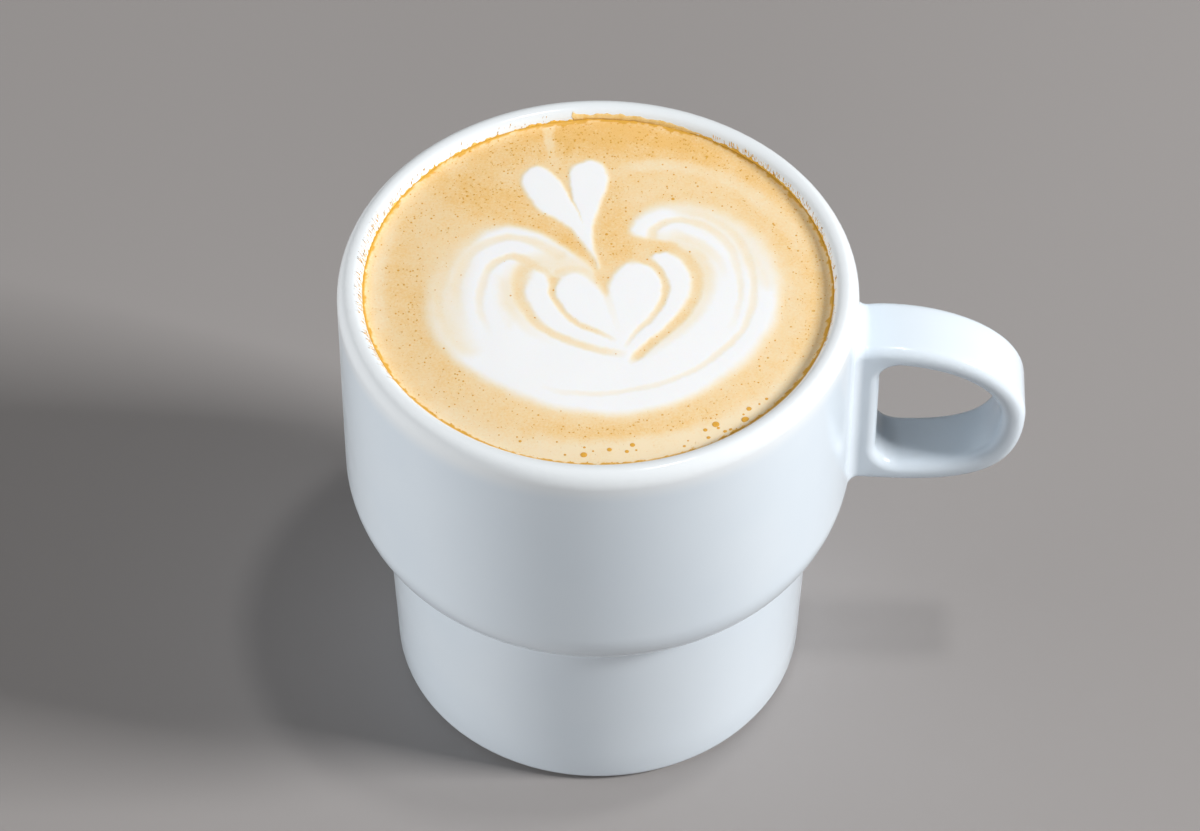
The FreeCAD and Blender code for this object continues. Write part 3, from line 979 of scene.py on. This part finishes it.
def placed_bubbles(material, settings):
    """One larger bubble on each point, as wide as the point says."""
    recipe = Recipe("large_bubbles")
    flatness = recipe.input("Flatness", "Float", settings.flatness)
    size = recipe.add("GeometryNodeInputNamedAttribute", {"Name": "size"}, data_type="FLOAT")
    squeeze = recipe.add("ShaderNodeCombineXYZ", {0: 1.0, 1: 1.0, 2: flatness})
    placed = recipe.add(
        "GeometryNodeInstanceOnPoints",
        {
            "Points": recipe.source.outputs[0],
            "Instance": ball(recipe, 24, 14).outputs[0],
            "Scale": size.outputs[0],
        },
    )
    flat = recipe.add(
        "GeometryNodeScaleInstances",
        {"Instances": placed.outputs[0], "Scale": squeeze.outputs[0]},
    )
    return recipe, recipe.finish(flat.outputs[0], material)


def grown(name, source_mesh, recipe, tree, inputs):
    """Runs a tree on a mesh and returns what it makes, as a plain mesh."""
    carrier = bpy.data.objects.new(name + "_carrier", source_mesh)
    bpy.context.scene.collection.objects.link(carrier)
    modifier = carrier.modifiers.new("grow", "NODES")
    modifier.node_group = tree
    for label, value in inputs.items():
        modifier[recipe.identifier(label)] = value
    graph = bpy.context.evaluated_depsgraph_get()
    mesh = bpy.data.meshes.new_from_object(carrier.evaluated_get(graph))
    mesh.name = name
    carrier.modifiers.remove(modifier)
    bpy.data.objects.remove(carrier)
    mesh.polygons.foreach_set("use_smooth", [True] * len(mesh.polygons))
    return mesh


def bubble_points(settings):
    """The larger bubbles' places on the surface, with their sizes."""
    u, v, _ = np.array(LARGE_BUBBLES).T
    x, y = turned_to_cup(u, v)
    spots = np.stack([x, y, foam_heights(x, y, 0.0, settings)], 1).tolist()
    mesh = bpy.data.meshes.new("bubble_points")
    mesh.from_pydata(spots, [], [])
    layer = mesh.attributes.new("size", "FLOAT", "POINT")
    layer.data.foreach_set("value", [radius * MM for _, _, radius in LARGE_BUBBLES])
    return mesh


def crema_only(mesh):
    """A copy of the drink's surface without its sides, for strewing bubbles."""
    surface = mesh.copy()
    form = bmesh.new()
    form.from_mesh(surface)
    edge = (BREW_RADIUS - 0.3 * MM) ** 2
    hidden = []
    for vert in form.verts:
        if vert.co.z < LEVEL - 0.8 * MM or vert.co.x ** 2 + vert.co.y ** 2 > edge:
            hidden.append(vert)
    bmesh.ops.delete(form, geom=hidden, context="VERTS")
    form.to_mesh(surface)
    form.free()
    return surface


# ---------------------------------------------------------------- stage

CAMERA_TURN = math.radians(1.6)      # from straight in front, towards the handle
CAMERA_PITCH = math.radians(48.8)
CAMERA_REACH = 846 * MM
CAMERA_LENS = 150.0
LOOK_AT = Vector((0.3 * MM, 0.0, 55.5 * MM))
LIGHT_REACH = 1.8


def swung(point, turn):
    return Matrix.Rotation(turn, 3, "Z") @ Vector(point)


def aimed(place, target):
    """A matrix at place that looks at target."""
    look = (Vector(target) - Vector(place)).to_track_quat("-Z", "Y").to_matrix().to_4x4()
    return Matrix.Translation(place) @ look


def add_camera():
    data = bpy.data.cameras.new("camera")
    data.lens = CAMERA_LENS
    data.sensor_width = 36.0
    data.clip_start = 0.01
    camera = bpy.data.objects.new("camera", data)
    bpy.context.scene.collection.objects.link(camera)
    back = Vector((0, -math.cos(CAMERA_PITCH), math.sin(CAMERA_PITCH))) * CAMERA_REACH
    place = swung(LOOK_AT + back, CAMERA_TURN)
    camera.matrix_world = aimed(place, swung(LOOK_AT, CAMERA_TURN))
    bpy.context.scene.camera = camera


def add_light(name, azimuth, elevation, size, power, colour, shines=True):
    """A soft light that faces the cup, and shows in the glaze if it shines. Azimuth 0 is at +X, 90 at +Y."""
    data = bpy.data.lights.new(name, "AREA")
    data.shape = "RECTANGLE"
    data.size, data.size_y = size
    data.energy = power
    data.color = colour
    light = bpy.data.objects.new(name, data)
    light.visible_glossy = shines
    bpy.context.scene.collection.objects.link(light)
    a, e = math.radians(azimuth), math.radians(elevation)
    place = Vector((math.cos(a) * math.cos(e), math.sin(a) * math.cos(e), math.sin(e))) * LIGHT_REACH
    light.matrix_world = aimed(place, (0, 0, RIM / 2))


def add_room(strength):
    world = bpy.data.worlds.new("room")
    world.use_nodes = True
    background = world.node_tree.nodes["Background"]
    background.inputs["Color"].default_value = (1.0, 0.985, 0.96, 1.0)
    background.inputs["Strength"].default_value = strength
    bpy.context.scene.world = world


def add_table(colour):
    mesh = bpy.data.meshes.new("table")
    reach = 3.0
    corners = [(-reach, -reach, 0), (reach, -reach, 0), (reach, reach, 0), (-reach, reach, 0)]
    mesh.from_pydata(corners, [], [(0, 1, 2, 3)])
    mesh.materials.append(table_finish(colour))
    table = bpy.data.objects.new("table", mesh)
    bpy.context.scene.collection.objects.link(table)


# ---------------------------------------------------------------- operators

class LATTE_OT_stage(bpy.types.Operator):
    """Set up the table, the soft lights and the camera"""

    bl_idname = "latte.stage"
    bl_label = "Stage"

    def execute(self, context):
        settings = context.scene.latte_stage
        context.scene.view_settings.view_transform = "Standard"
        add_camera()
        add_table(settings.table)
        add_light("key", -8, 34.5, (0.4, 0.4), settings.key, (1.0, 0.985, 0.97))
        add_light("fill", 188, 8, (2.0, 0.45), settings.fill, (1.0, 0.99, 0.98), False)
        add_light("front", 266, 30, (1.2, 1.0), settings.front, (1.0, 0.985, 0.965), False)
        add_light("back", 90, 35, (1.6, 1.0), settings.back, (1.0, 0.99, 0.975), False)
        add_light("ceiling", 0, 79, (0.12, 0.12), settings.ceiling, (1.0, 0.99, 0.97))
        add_room(settings.sky)
        return {"FINISHED"}


class LATTE_OT_cup(bpy.types.Operator):
    """Make the glazed mug with its handle"""

    bl_idname = "latte.cup"
    bl_label = "Mug"

    def execute(self, context):
        material = glaze_finish(context.scene.latte_cup)
        new_piece("glazed_mug", smooth_cup_mesh(), material, "glaze", "cup")
        return {"FINISHED"}


class LATTE_OT_foam(bpy.types.Operator):
    """Pour the drink, with the milk foam's pattern on its surface"""

    bl_idname = "latte.foam"
    bl_label = "Drink"

    def execute(self, context):
        settings = context.scene.latte_foam
        new_piece("latte_foam", foam_mesh(settings), foam_finish(settings), "foam", "latte")
        return {"FINISHED"}


class LATTE_OT_bubbles(bpy.types.Operator):
    """Strew fine bubbles over the crema and set the larger ones in place"""

    bl_idname = "latte.bubbles"
    bl_label = "Bubbles"

    def execute(self, context):
        settings = context.scene.latte_bubbles
        material = bubble_finish(settings)
        surface = crema_only(bpy.data.objects["latte_foam"].data)
        recipe, tree = scattered_bubbles(material, settings)
        inputs = {
            "Density": settings.density,
            "Smallest radius": settings.smallest,
            "Largest radius": settings.largest,
            "Seed": settings.seed,
        }
        new_piece("fine_bubbles", grown("fine_bubbles", surface, recipe, tree, inputs), material, "foam")
        recipe, tree = placed_bubbles(material, settings)
        points = bubble_points(context.scene.latte_foam)
        mesh = grown("large_bubbles", points, recipe, tree, {"Flatness": settings.flatness})
        new_piece("large_bubbles", mesh, material, "foam")
        return {"FINISHED"}


class LATTE_OT_film(bpy.types.Operator):
    """Leave the dried crema and its flecks where the drink touched the wall"""

    bl_idname = "latte.film"
    bl_label = "Dried edge"

    def execute(self, context):
        settings = context.scene.latte_residue
        line = dried_finish("dried_line", (0.84, 0.53, 0.11), (0.72, 0.37, 0.035))
        heavy = dried_finish("dried_drops", (0.78, 0.45, 0.07), (0.62, 0.30, 0.025))
        pale = dried_finish("dried_film", (0.88, 0.66, 0.33), (0.82, 0.53, 0.16))
        new_piece("dried_edge", film_mesh("dried_edge", edge_reach, 0.05 * MM), line, "foam")
        new_piece("dried_band", film_mesh("dried_band", band_reach, 0.035 * MM), pale, "foam")
        new_piece("dried_flecks", fleck_mesh(settings), heavy, "foam")
        return {"FINISHED"}


OPERATORS = (LATTE_OT_stage, LATTE_OT_cup, LATTE_OT_foam, LATTE_OT_bubbles, LATTE_OT_film)
SETTINGS = {
    "latte_cup": CupSettings,
    "latte_foam": FoamSettings,
    "latte_bubbles": BubbleSettings,
    "latte_residue": ResidueSettings,
    "latte_stage": StageSettings,
}


class LATTE_PT_panel(bpy.types.Panel):
    """Everything that makes the latte, in order"""

    bl_idname = "LATTE_PT_panel"
    bl_label = "Latte"
    bl_space_type = "VIEW_3D"
    bl_region_type = "UI"
    bl_category = "Latte"

    def draw(self, context):
        for operator in OPERATORS:
            self.layout.operator(operator.bl_idname)
        for name, group in SETTINGS.items():
            box = self.layout.box()
            for field in group.__annotations__:
                box.prop(getattr(context.scene, name), field)


def register():
    for group in SETTINGS.values():
        bpy.utils.register_class(group)
    for name, group in SETTINGS.items():
        setattr(bpy.types.Scene, name, bpy.props.PointerProperty(type=group))
    for operator in OPERATORS:
        bpy.utils.register_class(operator)
    bpy.utils.register_class(LATTE_PT_panel)


def unregister():
    bpy.utils.unregister_class(LATTE_PT_panel)
    for operator in reversed(OPERATORS):
        bpy.utils.unregister_class(operator)
    for name, group in SETTINGS.items():
        delattr(bpy.types.Scene, name)
        bpy.utils.unregister_class(group)


def main():
    register()
    for operator in OPERATORS:
        family, name = operator.bl_idname.split(".")
        getattr(getattr(bpy.ops, family), name)()


if __name__ == "__main__":
    main()
